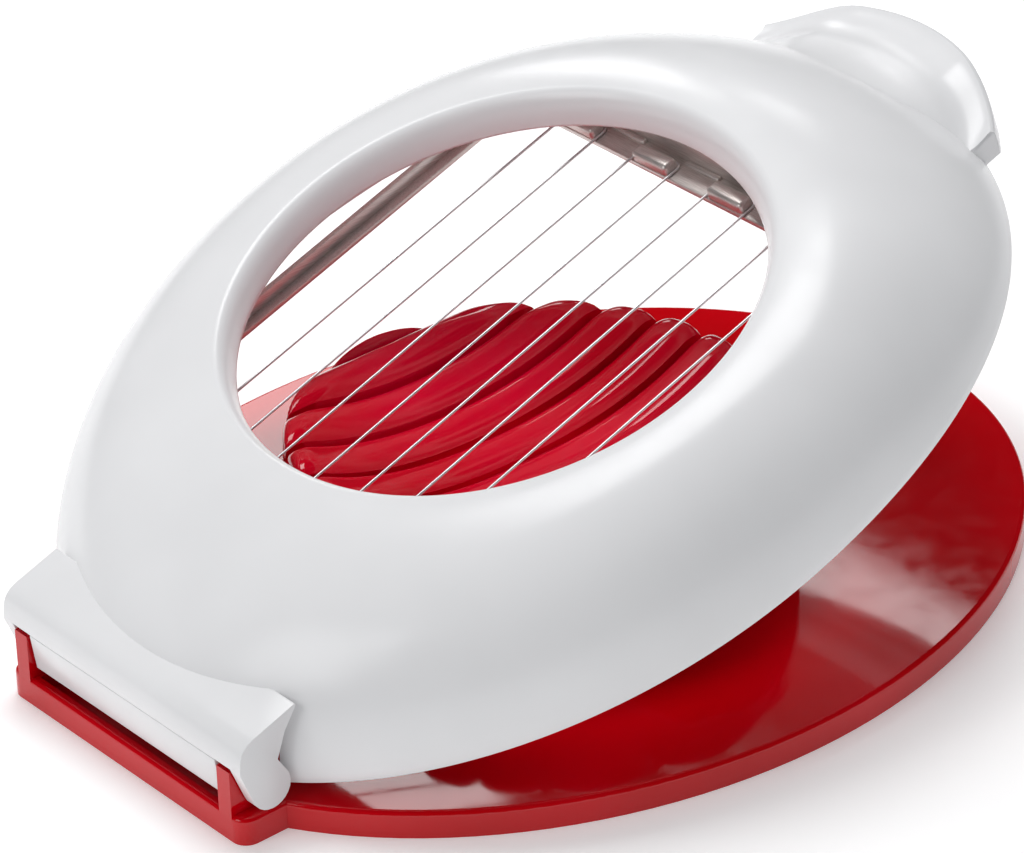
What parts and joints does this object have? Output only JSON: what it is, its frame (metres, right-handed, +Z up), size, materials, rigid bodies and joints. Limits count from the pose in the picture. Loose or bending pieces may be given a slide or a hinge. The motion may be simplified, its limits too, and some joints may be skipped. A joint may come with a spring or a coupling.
{
  "type": "egg slicer",
  "caption": "Oval egg slicer: slotted cradle on a tray, with a hinged domed cover that carries a frame of taut cutting wires, shown half open.",
  "frame": {"origin": "middle of the resting face, under the centre of the oval tray", "axes": "+Z up, -X towards the hinge, +X towards the lifting tab"},
  "size_m": [0.1286, 0.1028, 0.0559],
  "materials": {
    "base_plastic": "glossy deep red",
    "cover_plastic": "glossy white",
    "frame_steel": "bright folded sheet",
    "wire_steel": "drawn stainless wire",
    "pin_steel": "plain steel"
  },
  "bodies": {
    "base": {"base_tray": "base_plastic", "egg_cradle": "base_plastic", "hinge_pin_left": "pin_steel", "hinge_pin_right": "pin_steel"},
    "cover": {"cover_shell": "cover_plastic", "frame_hinge_bar": "frame_steel", "frame_rail_left": "frame_steel", "frame_rail_right": "frame_steel", "frame_screws": "pin_steel", "frame_tab_bar": "frame_steel", "hinge_strip": "cover_plastic", "wire_loop_1": "wire_steel", "wire_loop_2": "wire_steel", "wire_loop_3": "wire_steel", "wire_loop_4": "wire_steel"}
  },
  "joints": [
    {"name": "cover_hinge", "type": "hinge", "parent": "base", "child": "cover", "pos_m": [-0.0597, 0, 0.00644], "axis": [0, -1, 0], "range_deg": [-19, 56]}
  ]
}
